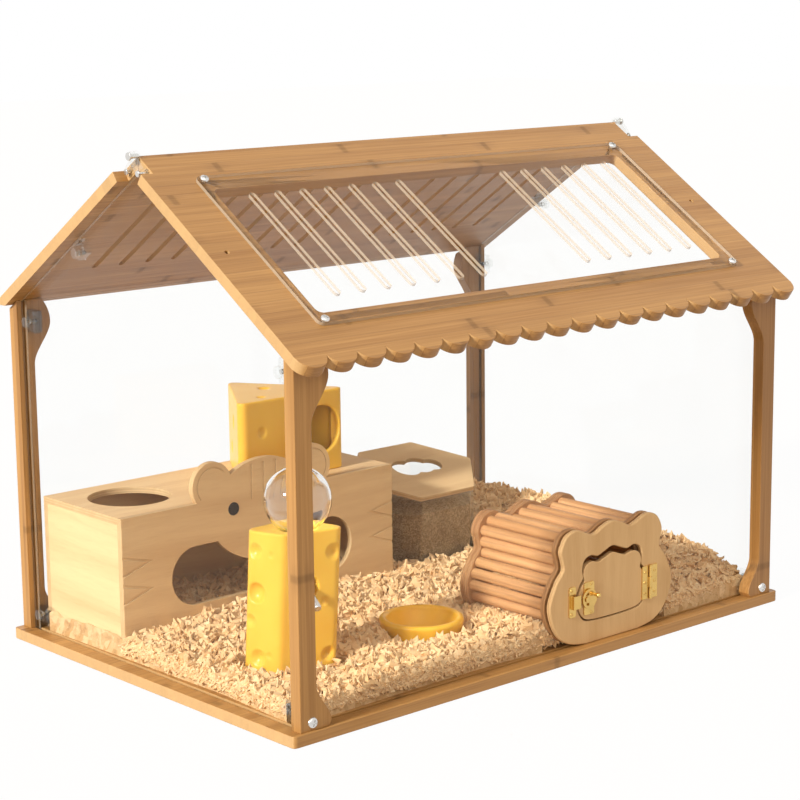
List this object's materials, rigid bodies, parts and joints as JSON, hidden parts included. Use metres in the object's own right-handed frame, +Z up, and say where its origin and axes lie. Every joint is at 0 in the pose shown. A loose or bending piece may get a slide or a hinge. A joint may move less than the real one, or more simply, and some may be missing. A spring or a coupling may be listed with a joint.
{
  "type": "hamster cage",
  "caption": "House-shaped hamster cage of wood and clear sheet: hinged windowed roof with scalloped eave, latched front door with slatted tunnel, loose hide, feeding and bathing furniture.",
  "frame": {"origin": "centre of the base board's underside", "axes": "+X along the ridge to the right, +Y to the back, +Z up"},
  "size_m": [0.6, 0.4412, 0.4567],
  "materials": {
    "bamboo": "oiled laminated bamboo",
    "clear_acrylic": "clear polished acrylic",
    "chrome_screw": "polished",
    "beech": "sanded beech",
    "birch_ply": "sanded plywood",
    "brass": "polished",
    "black_eye": "gloss",
    "cheese_glaze": "glazed ceramic",
    "silicone": "matte",
    "blown_glass": "clear",
    "mustard_glaze": "glazed ceramic",
    "bath_sand": "loose sand",
    "wood_chips": "loose shavings"
  },
  "bodies": {
    "cage": {"base_board": "bamboo", "post_front_left": "bamboo", "post_front_right": "bamboo", "post_back_left": "bamboo", "post_back_right": "bamboo", "base_screws": "chrome_screw", "front_panel": "clear_acrylic", "back_panel": "clear_acrylic", "side_panel_left": "clear_acrylic", "side_panel_right": "clear_acrylic", "corner_blocks": "clear_acrylic", "panel_bolts": "clear_acrylic", "post_screws": "chrome_screw", "back_roof_board": "bamboo", "back_roof_screws": "chrome_screw", "back_hinge_leaves": "clear_acrylic", "ridge_pins": "chrome_screw", "back_hinge_screws": "chrome_screw", "door_outer_plate": "birch_ply", "door_inner_plate": "beech", "tunnel_slats": "beech", "tunnel_inner_ring": "beech", "tunnel_end_ring": "beech", "frame_hinge_leaf": "brass", "frame_hinge_screws": "brass", "hinge_pin": "brass", "latch_keeper": "brass", "keeper_screws": "brass", "cheese_tower": "cheese_glaze", "drinking_spout": "chrome_screw", "ball_seal": "silicone", "sand_jar": "clear_acrylic", "bath_sand": "bath_sand", "bedding": "wood_chips"},
    "front_roof": {"front_roof_board": "bamboo", "roof_window": "clear_acrylic", "window_screws": "chrome_screw", "front_hinge_leaves": "clear_acrylic", "front_hinge_screws": "chrome_screw"},
    "door": {"door_board": "birch_ply", "door_hinge_leaf": "brass", "door_hinge_screws": "brass", "latch_plate": "brass", "latch_plate_screws": "brass", "latch_rivet": "brass"},
    "latch": {"latch_cam": "brass"},
    "hide": {"hide_front": "birch_ply", "hide_back": "birch_ply", "hide_left": "birch_ply", "hide_right": "birch_ply", "hide_top": "birch_ply", "hide_eyes": "black_eye"},
    "house": {"cheese_house": "cheese_glaze"},
    "ball": {"water_ball": "blown_glass"},
    "bowl": {"food_bowl": "mustard_glaze"},
    "sand_cover": {"sand_lid": "birch_ply"}
  },
  "joints": [
    {"name": "front_roof_hinge", "type": "hinge", "parent": "cage", "child": "front_roof", "pos_m": [0, 0, 0.4525], "axis": [-1, 0, 0], "range_deg": [0, 130]},
    {"name": "door_hinge", "type": "hinge", "parent": "cage", "child": "door", "pos_m": [0.1245, -0.1975, 0.0515], "axis": [0, 0, 1], "range_deg": [0, 110]},
    {"name": "latch_turn", "type": "hinge", "parent": "door", "child": "latch", "pos_m": [0.04, -0.198, 0.052], "axis": [0, -1, 0], "range_deg": [-150, 0]},
    {"name": "hide_lift", "type": "slide", "parent": "cage", "child": "hide", "axis": [0, 0, 1], "range_m": [0, 0.04]},
    {"name": "house_lift", "type": "slide", "parent": "hide", "child": "house", "axis": [0, 0, 1], "range_m": [0, 0.05]},
    {"name": "ball_lift", "type": "slide", "parent": "cage", "child": "ball", "axis": [0, 0, 1], "range_m": [0, 0.07]},
    {"name": "bowl_lift", "type": "slide", "parent": "cage", "child": "bowl", "axis": [0, 0, 1], "range_m": [0, 0.06]},
    {"name": "sand_cover_lift", "type": "slide", "parent": "cage", "child": "sand_cover", "axis": [0, 0, 1], "range_m": [0, 0.06]}
  ]
}
